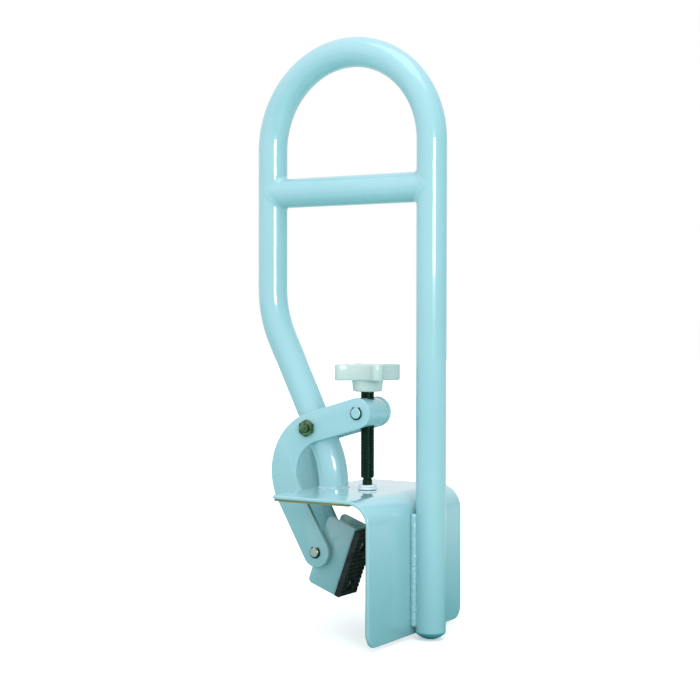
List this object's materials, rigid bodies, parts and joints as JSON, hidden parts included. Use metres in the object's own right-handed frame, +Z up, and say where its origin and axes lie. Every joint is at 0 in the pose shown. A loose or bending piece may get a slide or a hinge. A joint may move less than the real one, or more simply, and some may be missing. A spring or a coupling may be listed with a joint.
{
  "type": "clamp-on bath grab rail",
  "caption": "Bath-side grab rail: a tubular hoop with a crossbar on a saddle bracket that clamps to the bath's wall with a screw-driven lever and a swivelling jaw.",
  "frame": {"origin": "the middle of the rim seat, on the underside of the liner under the saddle's top plate, where the rail rests on the bath's rim", "axes": "+X along the bath's rim, +Y across the rim into the bath, +Z up"},
  "size_m": [0.158, 0.1844, 0.5057],
  "materials": {
    "enamel": "gloss baked enamel",
    "cap_plastic": "gloss",
    "liner_rubber": "matt",
    "pad_rubber": "matt",
    "zinc": "bright zinc plate",
    "dark_steel": "blackened, lightly oiled",
    "nylon": "satin white",
    "knob_plastic": "gloss ivory"
  },
  "bodies": {
    "frame": {"hoop_tube": "enamel", "crossbar_tube": "enamel", "saddle_bracket": "enamel", "leg_end_cap": "cap_plastic", "outer_leg_welds": "enamel", "inner_leg_weld": "enamel", "crossbar_welds": "enamel", "top_liner": "liner_rubber", "wall_liner": "liner_rubber", "pivot_sleeve": "zinc"},
    "lever": {"lever_plate_near": "enamel", "lever_plate_far": "enamel", "pivot_bolt": "zinc", "pivot_nut": "dark_steel", "thrust_washers": "nylon", "jaw_pin": "zinc", "jaw_pin_clips": "dark_steel", "jaw_spacers": "zinc"},
    "trunnion": {"trunnion_barrel": "enamel", "trunnion_clips": "dark_steel"},
    "foot": {"screw_foot": "nylon"},
    "screw": {"clamp_screw": "dark_steel", "hand_knob": "knob_plastic", "knob_insert": "zinc", "knob_plug": "knob_plastic"},
    "shoe": {"jaw_shoe": "enamel", "jaw_pad": "pad_rubber", "pad_rivets": "zinc"}
  },
  "joints": [
    {"name": "lever_tilt", "type": "hinge", "parent": "frame", "child": "lever", "pos_m": [0, 0.04075, 0.05652], "axis": [1, 0, 0], "range_deg": [-5, 45]},
    {"name": "trunnion_turn", "type": "hinge", "parent": "lever", "child": "trunnion", "pos_m": [0, -0.00839, 0.07089], "axis": [1, 0, 0], "range_deg": [-45, 5]},
    {"name": "screw_travel", "type": "slide", "parent": "trunnion", "child": "foot", "axis": [0, 0, 1], "range_m": [-0.0044, 0.0396]},
    {"name": "knob_spin", "type": "hinge", "parent": "foot", "child": "screw", "pos_m": [0, -0.00839, 0.10502], "axis": [0, 0, 1], "range_deg": [-900, 8100]},
    {"name": "shoe_swivel", "type": "hinge", "parent": "lever", "child": "shoe", "pos_m": [0, 0.03245, -0.04956], "axis": [1, 0, 0], "range_deg": [-20, 20]}
  ],
  "couplings": [
    {"joint": "screw_travel", "follows": "knob_spin", "m_per_rad": 0.00027852},
    {"joint": "lever_tilt", "follows": "knob_spin", "ratio": 0.0055153},
    {"joint": "trunnion_turn", "follows": "knob_spin", "ratio": -0.0055153}
  ]
}
